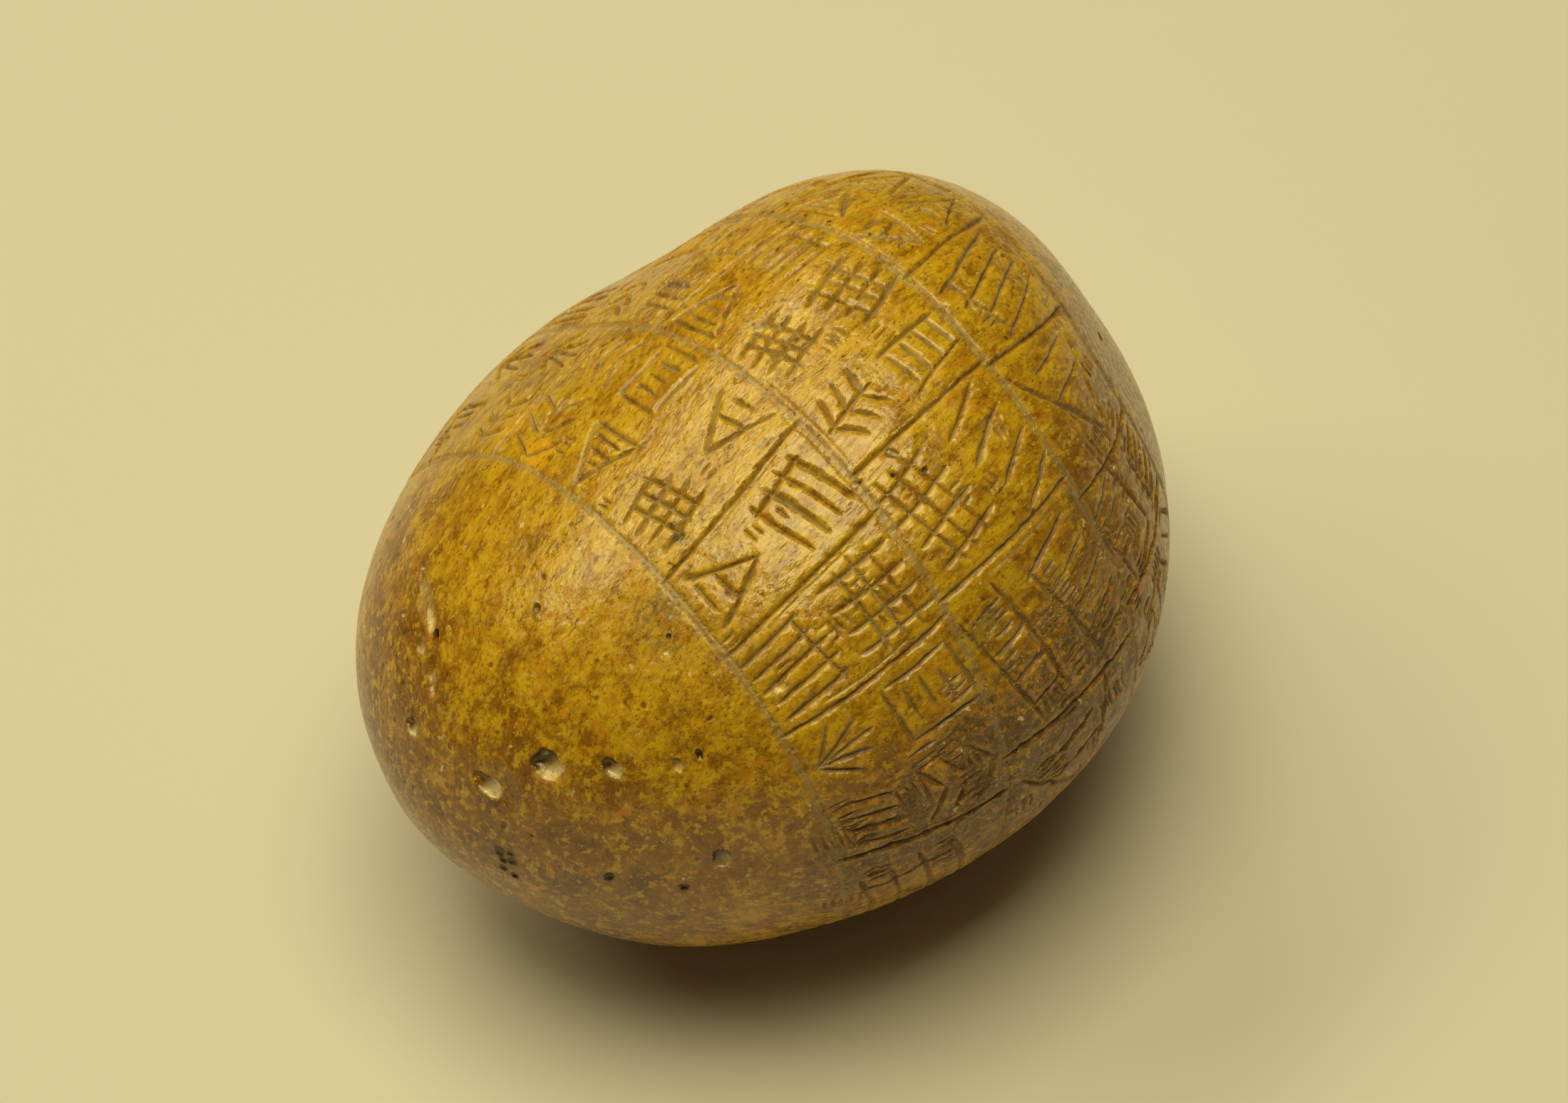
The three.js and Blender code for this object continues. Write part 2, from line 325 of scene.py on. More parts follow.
def boxStrokes(band, box):
    rows = 1 if chance(band * 7.3 + box * 3.1) < signs["bigShare"] else signs["rows"]
    strokes = []
    for row in range(rows):
        share = (row + 0.5) / rows
        start, end = boxTurns(band, box, share)
        middle = (start + end) / 2
        perReach, perTurn = perDegree(bandReach(band, share, middle), middle)
        bandHeight = (bandReach(band, 1, middle) - bandReach(band, 0, middle)) * perReach
        height = bandHeight / rows
        columns = max(1, math.floor((end - start) * perTurn / (height * signs["aspect"]) + 0.5))
        breadth = (end - start) * perTurn / columns
        for column in range(columns):
            turn = start + (end - start) * (column + 0.5) / columns
            reach = bandReach(band, share, turn)
            seed = 1 + band * 97 + box * 13 + row * 5 + column
            sign = signStrokes(reach, turn, height * signs["fill"], breadth * signs["fill"], seed)
            strokes += sign if isShown(turn) else sign[:signs["backStrokes"]]
    return strokes


# Short ticks in the gaps between the signs, on the side that shows.
def boxTicks(band, box):
    ticks = []
    for i in range(signs["tickTries"]):
        seed = 3000 + band * 90 + box * 11 + i * 1.37
        share = 0.06 + 0.88 * chance(seed)
        start, end = boxTurns(band, box, share)
        turn = start + (end - start) * (0.1 + 0.8 * chance(seed + 0.3))
        reach = bandReach(band, share, turn)
        crowded = wrapped(turn) > signs["crowdedFrom"]
        if not isShown(turn) or not (crowded or chance(seed + 0.6) < signs["tickShare"]):
            continue
        perReach, perTurn = perDegree(reach, turn)
        lying = chance(seed + 0.15) < 0.5
        half = signs["tickLength"] * (0.4 + 0.3 * chance(seed + 0.9)) * (1.5 if crowded else 1)
        for tick in range(2 + crowded + math.floor((2.4 + crowded) * chance(seed + 0.45))):
            aside = tick * signs["tickApart"]
            ends = [(aside, -half), (aside, half)] if lying else [(-half, aside), (half, aside)]
            ticks.append([(reach + down / perReach, turn + across / perTurn)
                          for down, across in ends])
    return ticks


# How unsteady the hand was that cut the stone.
hand = {
    "wander": 9.0,           # mm, the slow waves of a cut
    "tremble": 2.4,          # mm, the quick ones
    "swell": 2.8,            # mm, between the places where it is broader
    "ragged": (1.2, 0.42),   # mm, and share of the half width that each edge strays
    "chips": (1.5, 0.6),     # mm between chips along an edge, and their size
    "uneven": (3.1, 0.25),   # mm, and share that its depth changes
    "thinnest": 0.08,        # mm, the least half width
}


def sideOf(directions, points):
    return unit(np.cross(normalAt(directions), np.gradient(points, axis=0)))


# A cut laid over the stone: its points, the half widths on either side, its depth, and how dusty
# it is. A vee comes to an edge, a smear has a flat floor, and a scratch raises hardly any lip.
def cutAlong(places, width, depth, seed, kind="vee", bow=0.0, overrun=0.0, taper=0.0, ripple=0.1,
             dust=1.0):
    reach, turn = np.array(places, dtype=float).T
    corners = surfacePoint(directionAt(reach, turn))
    lengths = np.linalg.norm(np.diff(corners, axis=0), axis=1)
    along = np.concatenate([[0], np.cumsum(lengths)])
    total = along[-1]
    spacing = skin["rowStepShown"] if isShown(turn[len(turn) // 2]) else skin["rowStepBack"]
    start, end = -swing(seed + 0.11, overrun), total + swing(seed + 0.23, overrun)
    count = max(4, int((end - start) / spacing + 0.5) + 1)
    at = np.linspace(start, end, count)
    slopeStart = (np.array([reach[1], turn[1]]) - np.array([reach[0], turn[0]])) / lengths[0]
    slopeEnd = (np.array([reach[-1], turn[-1]]) - np.array([reach[-2], turn[-2]])) / lengths[-1]
    early, late = np.minimum(at, 0), np.maximum(at - total, 0)
    sampleReach = np.interp(at, along, reach) + slopeStart[0] * early + slopeEnd[0] * late
    sampleTurn = np.interp(at, along, turn) + slopeStart[1] * early + slopeEnd[1] * late
    directions = directionAt(sampleReach, sampleTurn)
    points = surfacePoint(directions)
    side = sideOf(directions, points)
    share = (at - start) / (end - start)

    def waves(size, lane):
        spots = [Vector((a / size, seed * 3.7 + lane * 9.1, lane)) for a in at.tolist()]
        return np.array([noise.noise(spot) for spot in spots])

    slow = waves(hand["wander"], 1)
    quick = waves(hand["tremble"], 0)
    stray = swing(seed + 0.37, bow) * 4 * share * (1 - share)
    points = points + side * (stray + ripple * quick + 2.2 * ripple * slow)[:, None]
    points = surfacePoint(directionUnder(points))
    side = sideOf(directionUnder(points), points)
    fade = np.ones(count)
    if taper:
        fade = clamp(np.minimum(at - start, end - at) / taper) ** 0.7
    heave = 1 + 0.3 * slow + 0.2 * waves(hand["swell"], 2)
    halfWidth = width / 2 * (0.35 + 0.65 * fade) * heave
    (chipGap, chipSize), (ragLength, ragShare) = hand["chips"], hand["ragged"]
    unevenLength, unevenShare = hand["uneven"]
    chips = [chipSize * clamp(waves(chipGap, lane) - 0.1) for lane in (3, 4)]
    halves = [halfWidth * (1 + ragShare * waves(ragLength, 5 + i)) + chips[i] * min(width, 1)
              for i in (0, 1)]
    unevenDepth = 1 + unevenShare * waves(unevenLength, 7)
    return {
        "points": points,
        "side": side,
        "halves": np.maximum(np.stack(halves, axis=1), hand["thinnest"]),
        "depth": depth * (0.1 + 0.9 * fade) * (0.75 + 0.25 * heave) * unevenDepth,
        "dust": dust,
        "kind": kind,
    }


def ringCuts():
    for ring in range(len(ruling["rings"])):
        turns = np.linspace(0, 360, 181)
        places = np.stack([ringReach(ring, turns), turns], axis=1)
        yield cutAlong(places, ruling["smearWidth"], ruling["smearDepth"], 30 + ring,
                       kind="smear", ripple=0.05)
        for lane, aside in enumerate(ruling["ringLanes"]):
            aside = aside / ruling["mmPerDegree"]
            places = np.stack([ringReach(ring, turns) + aside, turns], axis=1)
            yield cutAlong(places, ruling["ringWidth"], ruling["ringDepth"] * (1 - 0.35 * lane),
                           40 + ring * 3 + lane, ripple=0.1, dust=0.95)
        for i in range(ruling["passes"]):
            seed = 60 + ring * 20 + i
            start = 360 * (i + chance(seed)) / ruling["passes"] - 90
            turns = np.linspace(start, start + 18 + 34 * chance(seed + 0.5), 24)
            aside = swing(seed + 0.7, 0.9)
            aside = (aside + math.copysign(0.45, aside)) / ruling["mmPerDegree"]
            places = np.stack([ringReach(ring, turns) + aside, turns], axis=1)
            yield cutAlong(places, ruling["passWidth"], ruling["passDepth"], seed,
                           kind="scratch", bow=0.5, taper=4.0, ripple=0.06, dust=0.8)


def lineCuts():
    for band, box in boxes:
        startTurn, endTurn = ruling["dividers"][band][box]
        share = np.linspace(-0.02, 1.02, 12)
        turns = startTurn + (endTurn - startTurn) * share
        places = np.stack([bandReach(band, share, turns), turns], axis=1)
        seed = 200 + band * 20 + box
        yield cutAlong(places, ruling["lineWidth"], ruling["lineDepth"], seed,
                       bow=0.4, taper=1.5, ripple=0.09, dust=0.6)
        if chance(seed + 0.45) < 0.6:
            aside = 1.1 * (1 if chance(seed + 0.8) < 0.5 else -1)
            yield cutAlong(places[2:9] + np.array([0, aside]), ruling["passWidth"],
                           ruling["passDepth"], seed + 0.5, kind="scratch", bow=0.5, taper=3.0)


def tickCuts():
    for band, box in boxes:
        for i, (one, two) in enumerate(boxTicks(band, box)):
            seed = 5000 + band * 300 + box * 30 + i * 0.9
            places = np.array([one, [(a + b) / 2 for a, b in zip(one, two)], two])
            yield cutAlong(places, signs["tickWidth"], signs["tickDepth"], seed, bow=0.3,
                           overrun=0.3, taper=1.0, ripple=0.06, dust=0.7)


def signCuts():
    for band, box in boxes:
        for i, ends in enumerate(boxStrokes(band, box)):
            seed = 1000 + band * 400 + box * 40 + i * 0.83
            start, end = np.array(ends)
            places = start + (end - start) * np.linspace(0, 1, 5)[:, None]
            heavy = 0.8 + 0.4 * chance(seed + 0.2)
            yield cutAlong(places, signs["width"] * heavy, signs["depth"] * heavy, seed,
                           bow=signs["bow"], overrun=signs["overrun"], taper=signs["taper"],
                           ripple=0.09, dust=0.45 + 0.55 * chance(seed + 0.6))


# Pits, scars and stains of the worn skin. Sizes are in millimetres, and long is how much longer
# than broad the hollow is, along the angle turned from the reach toward the turn.
wear = {
    "pits": [                # reach, turn, radius, depth, long, angle, chalk and painted light, dark specks and painted shade
        (150.1, 24.4, 2.3, 1.6, 1.0, 0, 0.9, 0.8), (159.8, 7.1, 1.5, 0.8, 1.6, 75, 0.8, 0.2),
        (143.4, 37.7, 1.15, 0.8, 1.5, 95, 0.7, 0.7), (136.0, 46.6, 0.75, 0.6, 1.4, 70, 0.7, 0.5),
        (158.5, 14.0, 3.4, 0.35, 1.3, 60, 0.0, 0.1), (155.0, -34.7, 1.1, 0.6, 1.3, 30, 0.8, 0.5),
        (139.0, 73.0, 1.25, 0.8, 1.35, 60, 0.45, 0.85), (165.0, 26.0, 0.8, 0.5, 1.0, 0, 0.5, 0.4),
        (97.1, 61.8, 2.4, 0.6, 1.3, 20, 0.0, 0.3), (134.8, -36.5, 0.8, 0.4, 4.2, 26, 0.3, 0.2),
        (139.2, -29.6, 0.9, 0.7, 3.0, 25, 0.5, 0.3), (146.5, -25.0, 0.7, 0.6, 5.4, 12, 0.4, 0.3),
        (143.5, -31.5, 0.8, 0.3, 1.6, 40, 0.5, 0.2), (136.5, -34.5, 1.9, 0.3, 2.6, 30, 0.12, 0.1),
        (141.5, -26.2, 0.6, 2.2, 1.2, 20, 0.0, 1.0), (132.6, 0.0, 0.62, 0.5, 1.3, 60, 0.0, 0.7),
        (124.7, 26.9, 0.4, 0.5, 1.1, 0, 0.0, 0.95), (132.7, 47.5, 0.5, 0.6, 1.7, 80, 0.0, 0.95),
        (92.0, 36.3, 0.36, 0.5, 1.0, 0, 0.0, 0.95), (89.0, 39.3, 0.38, 0.5, 1.2, 0, 0.0, 0.95),
        (95.2, 33.4, 0.3, 0.4, 1.0, 0, 0.0, 0.9), (145.9, 80.5, 0.6, 0.5, 1.3, 0, 0.0, 1.0),
        (155.6, 71.5, 0.7, 0.6, 1.4, 30, 0.0, 1.0), (139.1, -40.8, 0.5, 0.4, 1.2, 0, 0.6, 0.5),
        (125.8, -10.3, 1.3, 0.12, 1.5, 80, 0.0, 0.3), (171.0, 36.0, 0.8, 0.5, 1.0, 0, 0.0, 0.8),
        (172.0, 46.0, 0.7, 0.5, 1.0, 0, 0.0, 0.8), (170.4, 52.0, 0.75, 0.5, 1.1, 0, 0.0, 0.8),
        (173.6, 60.0, 0.7, 0.5, 1.0, 0, 0.0, 0.8), (172.4, 74.0, 0.6, 0.5, 1.0, 0, 0.0, 0.8),
        (169.4, 43.0, 0.5, 0.4, 1.0, 0, 0.0, 0.7),
    ],
    "pitSteps": [0.0, 0.35, 0.62, 0.82, 0.94, 1.0, 1.14],   # shares of a radius with points on
    "peppering": 90,         # small pits scattered over the whole stone
    "stains": [              # reach, turn, radius, strength
        (171.0, 35.8, 1.0, 0.85), (171.6, 51.0, 1.0, 0.85), (174.0, 58.0, 0.9, 0.8),
        (172.3, 76.0, 0.8, 0.8), (169.0, 45, 0.8, 0.8), (173.2, 30.0, 0.8, 0.8),
        (114.2, 17.4, 1.0, 0.85), (113.4, 14.5, 0.7, 0.8), (155.6, 71.5, 0.9, 0.7),
    ],
    "grazes": 60,            # short scratches scattered over the stone
    "grazeLength": (2.0, 10.0),
    "grazeWidth": 0.36,
    "grazeDepth": 0.09,
}


# The listed pits and a peppering of small ones.
def allPits():
    pits = list(wear["pits"])
    for i in range(wear["peppering"]):
        seed = 7000 + i * 2.3
        reach = math.degrees(math.acos(swing(seed, 0.98)))
        turn = 360 * chance(seed + 0.4)
        radius = 0.3 + 0.5 * chance(seed + 0.7) ** 2
        long, angle = 1 + 0.8 * chance(seed + 0.2), 180 * chance(seed + 0.5)
        chalkAndLight, stainAndShade = 0.8 * (chance(seed + 0.9) < 0.35), 0.75 * chance(seed + 0.1)
        pits.append((reach, turn, radius, 0.5 * radius, long, angle, chalkAndLight, stainAndShade))
    return pits


# Broad patches of colour: reach, turn, breadth in degrees, strength.
patches = {
    "brown": [(160, 45, 20, 0.4), (168, 90, 26, 0.5), (124, 78, 20, 0.7), (98, 90, 22, 0.85),
              (150, -58, 16, 0.6), (146, -38, 11, 0.45), (80, -62, 24, 0.4), (60, 96, 28, 0.85),
              (40, 60, 20, 0.5), (170, 200, 40, 0.5), (100, 180, 50, 0.5), (46, 20, 16, 0.25),
              (72, 68, 14, 0.9), (81, -17, 12, 0.4), (128, -53, 10, 0.5), (170, 125, 14, 0.5)],
    "warm": [(114, -21, 4, 1.0), (110, -34, 5, 0.7), (136, -28, 9, 0.25), (128, 40, 8, 0.5),
             (148, 8, 9, 0.35), (112, 34, 8, 0.4), (88, 34, 8, 0.3), (96, 52, 8, 0.4),
             (80, 10, 9, 0.3)],
    "grey": [(104, 68, 12, 0.4), (92, 78, 14, 0.3), (124, 24, 8, 0.6), (78, 58, 12, 0.3),
             (72, 80, 20, 0.35), (120, 40, 6, 0.5), (50, 60, 20, 0.3), (100, -45, 10, 0.3),
             (112, 84, 14, 0.3), (98, 88, 14, 0.3)],
    "battered": [(112, 82, 14, 0.9), (97, 88, 15, 0.9), (124, 90, 12, 0.7), (82, 84, 13, 0.7),
                 (92, 74, 8, 0.5)],
}


def grazeCuts():
    shortest, longest = wear["grazeLength"]
    for i in range(wear["grazes"]):
        seed = 4000 + i * 1.7
        reach, turn = 50 + 120 * chance(seed), 360 * chance(seed + 0.4)
        perReach, perTurn = perDegree(reach, turn)
        angle = math.radians(swing(seed + 0.8, 60))
        length = shortest + (longest - shortest) * chance(seed + 0.1) ** 2
        share = np.linspace(-0.5, 0.5, 5) * length
        places = np.stack([reach + share * math.cos(angle) / perReach,
                           turn + share * math.sin(angle) / perTurn], axis=1)
        yield cutAlong(places, wear["grazeWidth"], wear["grazeDepth"], seed, kind="scratch",
                       bow=0.6, taper=length * 0.4, ripple=0.04, dust=0.5)


# The mesh: rows of points along every cut and round every pit, with points between them that
# stand further apart the further they are from a cut, all joined into triangles at the end.
skin = {
    "rowStepShown": 0.45,    # mm between the points along a cut
    "rowStepBack": 1.2,
    "rows": {                # each row's share of the half width, nearest the middle first
        "vee": [0.0, 1.0],
        "smear": [0.45],
        "scratch": [0.0, 1.0],
    },
    "lipGap": 0.3,           # mm from a cut's edge to the row outside it
    "closestShown": 0.17,    # mm, points nearer than this are left out
    "closestBack": 0.4,
    "subdivisions": 6,
    "fineShown": 0.7,        # mm, edges beside a cut
    "fineBack": 1.5,
    "openShown": 1.5,        # mm, edges on open stone
    "openBack": 3.4,
    "growth": 0.5,           # mm that edges lengthen for each mm away from a cut
    "slack": 0.4,            # mm beside a cut that stays fine
    "tooLong": 1.32,         # an edge this many times longer than wanted is split
    "rounds": 6,             # of splitting, at most
    "clear": 0.62,           # share of an edge that open points keep from the rows
    "pitStepShown": 0.26,    # mm between the points round a pit
    "pitStepBack": 0.6,
}


def treeOf(points):
    tree = kdtree.KDTree(len(points))
    for i, point in enumerate(points.tolist()):
        tree.insert(point, i)
    tree.balance()
    return tree


def gapsTo(tree, points):
    return np.array([tree.find(point)[2] for point in points.tolist()])


def isShownPoint(points):
    directions = directionUnder(points)
    turn = np.degrees(np.arctan2(-directions[:, 1], directions[:, 2]))
    low, high = signs["shown"]
    tip = np.degrees(np.arccos(np.clip(directions[:, 0], -1, 1)))
    return ((turn > low - 12) & (turn < high + 2) & (tip > 20)) | (tip > 160)


def byPlace(points, name):
    return np.where(isShownPoint(points), skin[name + "Shown"], skin[name + "Back"])


def splitOnce(directions, points, wanted, triangles):
    ends = np.sort(triangles[:, [0, 1, 1, 2, 2, 0]].reshape(-1, 2), axis=1)
    edges, back = np.unique(ends, axis=0, return_inverse=True)
    edgeOf = back.reshape(-1, 3)
    length = np.linalg.norm(points[edges[:, 0]] - points[edges[:, 1]], axis=1)
    longest = np.argmax(length[edgeOf] + 1e-7 * edgeOf, axis=1)
    rows = np.arange(len(triangles))
    longEdge = edgeOf[rows, longest]
    split = length > skin["tooLong"] * np.minimum(wanted[edges[:, 0]], wanted[edges[:, 1]])
    while True:
        touched = split[edgeOf].any(axis=1) & ~split[longEdge]
        if not touched.any():
            break
        split[longEdge[touched]] = True
    if not split.any():
        return None
    middle = np.full(len(edges), -1)
    middle[split] = len(directions) + np.arange(split.sum())
    newDirections = unit(directions[edges[split, 0]] + directions[edges[split, 1]])
    turned = triangles[rows[:, None], (longest[:, None] + np.arange(3)) % 3]
    turnedEdge = edgeOf[rows[:, None], (longest[:, None] + np.arange(3)) % 3]
    a, b, c = turned.T
    m, n, k = middle[turnedEdge].T
    whole, onN, onK = m < 0, n >= 0, k >= 0
    parts = [
        turned[whole],
        np.stack([a, m, k], axis=1)[~whole & onK],
        np.stack([k, m, c], axis=1)[~whole & onK],
        np.stack([a, m, c], axis=1)[~whole & ~onK],
        np.stack([m, b, n], axis=1)[~whole & onN],
        np.stack([m, n, c], axis=1)[~whole & onN],
        np.stack([m, b, c], axis=1)[~whole & ~onN],
    ]
    return newDirections, np.concatenate(parts)


# Points spread over the whole stone, closer together near the given ones.
def openPoints(tree):
    ball = bmesh.new()
    bmesh.ops.create_icosphere(ball, subdivisions=skin["subdivisions"], radius=1.0)
    directions = unit(np.array([vertex.co[:] for vertex in ball.verts]))
    triangles = np.array([[vertex.index for vertex in face.verts] for face in ball.faces])
    ball.free()

    def wantedEdges(points):
        beyond = np.maximum(gapsTo(tree, points) - skin["slack"], 0)
        return np.minimum(byPlace(points, "fine") + skin["growth"] * beyond, byPlace(points, "open"))

    points = surfacePoint(directions)
    wanted = wantedEdges(points)
    for _ in range(skin["rounds"]):
        step = splitOnce(directions, points, wanted, triangles)
        if step is None:
            break
        more, triangles = step
        morePoints = surfacePoint(more)
        wanted = np.concatenate([wanted, wantedEdges(morePoints)])
        directions = np.concatenate([directions, more])
        points = np.concatenate([points, morePoints])
    return points, wanted


def rowPoints(cuts):
    layers = [[], [], []]
    for cut in cuts:
        for side in (-1, 1):
            half = cut["halves"][:, 0 if side < 0 else 1][:, None]
            for layer, share in enumerate(skin["rows"][cut["kind"]]):
                if share or side > 0:
                    layers[layer].append(cut["points"] + side * share * half * cut["side"])
            if cut["kind"] == "vee":
                gap = skin["lipGap"] if isShownPoint(cut["points"][:1])[0] else 2 * skin["lipGap"]
                layers[2].append(cut["points"] + side * (half + gap) * cut["side"])
    return [np.concatenate(layer) for layer in layers]


def pitFrame(pit):
    reach, turn, radius, _, long, angle, _, _ = pit
    place = directionAt(reach, turn)
    centre = surfacePoint(place)
    normal = normalAt(place[None])[0]
    toward = surfacePoint(directionAt(reach + 0.5, turn)) - centre
    toward = unit(toward - normal * (toward @ normal))
    beside = np.cross(normal, toward)
    swung = math.radians(angle)
    axis = math.cos(swung) * toward + math.sin(swung) * beside
    return centre, axis, np.cross(normal, axis)


# How far a pit's edge strays from an oval, all the way round it.
def pitOutline(pit, angles):
    seed = pit[0] * 1.3 + pit[1]
    return np.array([1 + 0.26 * noise.noise(Vector((1.1 * math.cos(a), 1.1 * math.sin(a), seed)))
                     + 0.1 * noise.noise(Vector((2.6 * math.cos(a), 2.6 * math.sin(a), seed)))
                     for a in angles.tolist()])


def pitPoints(pits):
    points = []
    for pit in pits:
        centre, axis, cross = pitFrame(pit)
        radius, long = pit[2], pit[4]
        step = byPlace(centre[None], "pitStep")[0]
        steps = wear["pitSteps"] if radius > 0.9 else wear["pitSteps"][::3] + [1.14]
        for share in steps:
            girth = 2 * math.pi * share * radius * (1 + long) / 2
            count = max(1 if share == 0 else 6, int(girth / step))
            angles = np.arange(count) * 2 * math.pi / count
            reach = (share * radius * pitOutline(pit, angles))[:, None]
            oval = np.cos(angles)[:, None] * axis * long + np.sin(angles)[:, None] * cross
            points.append(centre + reach * oval)
    return np.concatenate(points)


# Keeps one point in every small cell, and none that stands too near those already kept.
def keepApart(kept, more):
    more = surfacePoint(directionUnder(more))
    if len(kept):
        more = more[gapsTo(treeOf(kept), more) > byPlace(more, "closest")]
    cells = np.round(more / byPlace(more, "closest")[:, None]).astype(int)
    _, first = np.unique(cells, axis=0, return_index=True)
    return np.concatenate([kept, more[np.sort(first)]])


def skinPoints(cuts, pits):
    kept = keepApart(np.zeros((0, 3)), pitPoints(pits))
    for layer in rowPoints(cuts):
        kept = keepApart(kept, layer)
    print("stone:", len(kept), "points along the cuts and pits")
    tree = treeOf(kept)
    points, wanted = openPoints(tree)
    clear = gapsTo(tree, points) > skin["clear"] * wanted
    return np.concatenate([kept, points[clear]])


# Joins points into triangles all over the stone. They are laid flat as seen from the middle of
# the foot, which leaves one opening there, closed with a fan.
def joinPoints(points):
    directions = directionUnder(points)
    pole = directionUnder(np.array([[0.0, 0.0, 0.0]]))[0]
    directions = directions[directions @ pole < 1 - 1e-5]
    across = unit(np.cross(pole, np.array([0.0, 1.0, 0.0])))
    upward = np.cross(pole, across)
    flat = np.stack([directions @ across, directions @ upward], axis=1)
    flat = flat / (1 - directions @ pole)[:, None]
    places = [Vector(place) for place in flat.tolist()]
    found = delaunay_2d_cdt(places, [], [], 0, 1e-9)
    order = np.array([origins[0] for origins in found[3]])
    directions = directions[order]
    triangles = np.array(found[2])
    sides = triangles[:, [0, 1, 1, 2, 2, 0]].reshape(-1, 2)
    twins = {tuple(side) for side in sides.tolist()}
    rim = [side for side in sides.tolist() if (side[1], side[0]) not in twins]
    last = len(directions)
    fan = [(end, start, last) for start, end in rim]
    directions = np.concatenate([directions, pole[None]])
    triangles = np.concatenate([triangles, np.array(fan)])
    corners = surfacePoint(directions)[triangles]
    faceNormal = np.cross(corners[:, 1] - corners[:, 0], corners[:, 2] - corners[:, 0])
    if np.sum(faceNormal * directions[triangles[:, 0]]) < 0:
        triangles = triangles[:, ::-1]
    return directions, triangles


# Every point that a cut passes near, with how far off it lies and what the cut is like there.
def cutPairs(points, cuts):
    tree = treeOf(points)

    def joined(name):
        first = np.concatenate([cut[name][:-1] for cut in cuts])
        return first, np.concatenate([cut[name][1:] for cut in cuts])

    (starts, ends), (side, _) = joined("points"), joined("side")
    (halves, nextHalves), (depths, nextDepths) = joined("halves"), joined("depth")
    counts = [len(cut["points"]) - 1 for cut in cuts]
    dusts = np.repeat([cut["dust"] for cut in cuts], counts)
    floors = np.repeat([skin["rows"][cut["kind"]][0] for cut in cuts], counts)
    middles = (starts + ends) / 2
    reaches = np.linalg.norm(ends - starts, axis=1) / 2 + halves.max(axis=1) + 2 * carving["lipWidth"]
    ofCut, ofPoint = [], []
    for i, (middle, reach) in enumerate(zip(middles.tolist(), reaches.tolist())):
        found = [hit[1] for hit in tree.find_range(middle, reach)]
        ofPoint += found
        ofCut += [i] * len(found)
    ofCut, ofPoint = np.array(ofCut), np.array(ofPoint)
    along = (ends - starts)[ofCut]
    offset = points[ofPoint] - starts[ofCut]
    share = clamp(np.sum(offset * along, axis=1) / np.sum(along * along, axis=1))
    away = offset - along * share[:, None]
    distance = np.linalg.norm(away, axis=1)
    column = (np.sum(away * side[ofCut], axis=1) > 0).astype(int)
    half = halves[ofCut, column] * (1 - share) + nextHalves[ofCut, column] * share
    depth = depths[ofCut] * (1 - share) + nextDepths[ofCut] * share
    return ofPoint, distance, half, depth, dusts[ofCut], floors[ofCut]


carving = {
    "lip": 0.06,             # mm that the stone stands up beside a cut
    "worn": 0.05,            # mm that a cut's edges are rubbed down
    "lipWidth": 0.3,
    "roughFloor": 0.1,       # how uneven a cut's depth is, as a share
    "battered": (2.0, 0.5),  # mm, size and depth of the knocks where the stone is battered
    "creaseAngle": 33,       # degrees, edges sharper than this are left crisp
}


def carve(points, cuts):
    floorNoise = noiseOf(points, 0.8, 5)
    ofPoint, distance, half, depth, dust, floor = cutPairs(points, cuts)
    slope = clamp((1 - distance / half) / (1 - floor))
    cut = depth * slope * (1 + carving["roughFloor"] * floorNoise[ofPoint])
    edge = clamp(1 - np.abs(distance - half) / carving["lipWidth"])
    cut = np.maximum(cut, carving["worn"] * edge * clamp(depth / 0.3))
    beyond = (distance - half) / carving["lipWidth"]
    lift = carving["lip"] * clamp(1 - np.abs(beyond - 1)) * clamp(depth / 0.4 - 0.3)
    sunk, lip, dusty = np.zeros(len(points)), np.zeros(len(points)), np.zeros(len(points))
    np.maximum.at(sunk, ofPoint, cut)
    np.maximum.at(lip, ofPoint, lift)
    np.maximum.at(dusty, ofPoint, slope * dust * np.minimum(depth / 0.2, 1))
    lip *= clamp(1 - sunk / 0.03)
    return sunk, lip, dusty


# How deep each point lies in a pit. Pale chalk is laid on the pit wall that faces the light, partly
# real chalk and partly painted light, and the opposite wall is painted dark as painted shade; a pit
# without chalk is dark all over, as a dark speck or painted shade in a deep hole.
def sinkPits(points, pits):
    sunk, chalkAndLight, stainAndShade = np.zeros(len(points)), np.zeros(len(points)), np.zeros(len(points))
    tree = treeOf(points)
    # A fixed direction away from the light, which sets the painted lit wall and painted shaded wall
    # of every pit.
    awayFromLight = unit(np.array([-0.35, -0.85, -0.4]))
    for pit in pits:
        _, _, radius, depth, long, _, chalkAndLightShare, stainAndShadeShare = pit
        centre, axis, cross = pitFrame(pit)
        found = tree.find_range(centre.tolist(), radius * long * 1.6 + 0.4)
        near = np.array([hit[1] for hit in found])
        if not len(near):
            continue
        offset = points[near] - centre
        along, beside = offset @ axis / long, offset @ cross
        share = np.hypot(along, beside) / (radius * pitOutline(pit, np.arctan2(beside, along)))
        bowl = clamp(1 - share * share) ** (0.5 if depth > 0.3 * radius else 2)
        sunk[near] = np.maximum(sunk[near], depth * bowl)
        inside = clamp((1.16 - share) / 0.16)
        # Share on the wall that faces the light: chalk there is partly painted light, and the
        # opposite wall gets painted shade.
        litWall = clamp(0.4 + 1.1 * (offset @ awayFromLight) / radius)
        chalkAndLight[near] = np.maximum(chalkAndLight[near], chalkAndLightShare * inside * litWall)
        shadedWall = 1 - litWall if chalkAndLightShare > 0 else 1
        stainAndShade[near] = np.maximum(stainAndShade[near], stainAndShadeShare * inside * shadedWall)
    return sunk, chalkAndLight, stainAndShade


